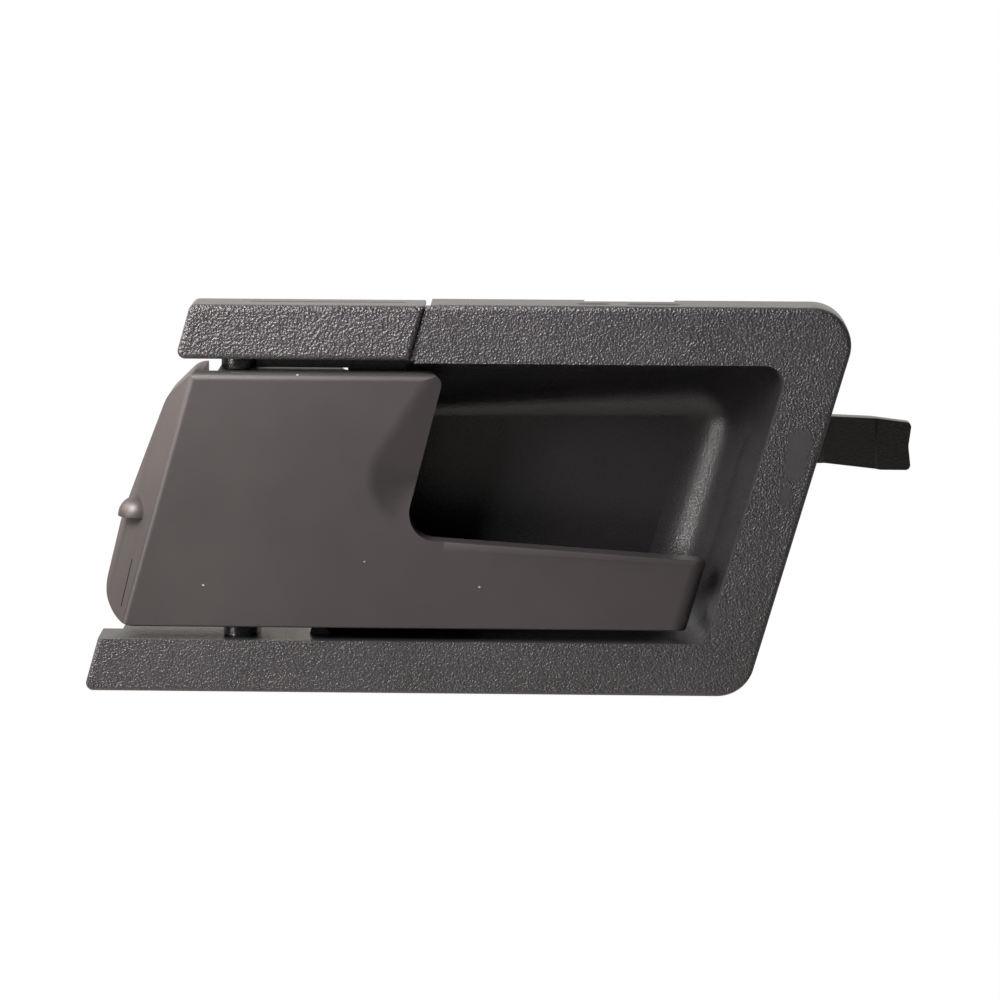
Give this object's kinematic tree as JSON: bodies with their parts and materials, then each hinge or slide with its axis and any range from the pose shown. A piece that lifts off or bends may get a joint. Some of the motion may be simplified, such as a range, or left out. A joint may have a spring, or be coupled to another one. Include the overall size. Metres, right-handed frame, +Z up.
{
  "type": "car interior door handle",
  "caption": "Black moulded interior door handle: slanted C-shaped bezel with finger bowl, sprung L-shaped pull lever, slide-off screw cover and rear hook tongue.",
  "frame": {"origin": "axis of the fixing screw on the plane where the housing's rear rim seats on the door trim", "axes": "+X along the door towards the hook tongue, +Y into the door, +Z up; the finger bowl faces -Y"},
  "size_m": [0.1666, 0.0373, 0.079],
  "materials": {
    "housing_plastic": "moulded black ABS with a fine spark-eroded grain",
    "cover_plastic": "moulded black ABS with a coarse grain",
    "lever_plastic": "moulded black polyamide, satin",
    "pin_steel": "drawn and zinc plated",
    "spring_steel": "bright drawn spring wire",
    "clip_plastic": "natural acetal",
    "stop_rubber": "moulded rubber"
  },
  "bodies": {
    "handle_base": {"housing": "housing_plastic", "pivot_pin": "pin_steel", "pin_retainer": "spring_steel", "bump_stop": "stop_rubber", "return_spring": "spring_steel"},
    "pull_lever": {"lever": "lever_plastic"},
    "rod_end": {"rod_clip": "clip_plastic"},
    "cover": {"screw_cover": "cover_plastic"}
  },
  "joints": [
    {"name": "clip_swivel", "type": "hinge", "parent": "pull_lever", "child": "rod_end", "pos_m": [-0.013, 0.0222, -0.0493], "axis": [0, 0, -1], "range_deg": [-36, 1]},
    {"name": "lever_hinge", "type": "hinge", "parent": "handle_base", "child": "pull_lever", "pos_m": [-0.013, 0.0022, -0.034], "axis": [0, 0, -1], "range_deg": [0, 35], "stiffness_Nm_per_rad": 0.08, "springref_deg": -34.38, "deforming": ["return_spring"]},
    {"name": "cover_slide", "type": "slide", "parent": "handle_base", "child": "cover", "axis": [-1, 0, 0], "range_m": [0, 0.03]}
  ],
  "couplings": [
    {"joint": "clip_swivel", "follows": "lever_hinge", "ratio": -1}
  ]
}
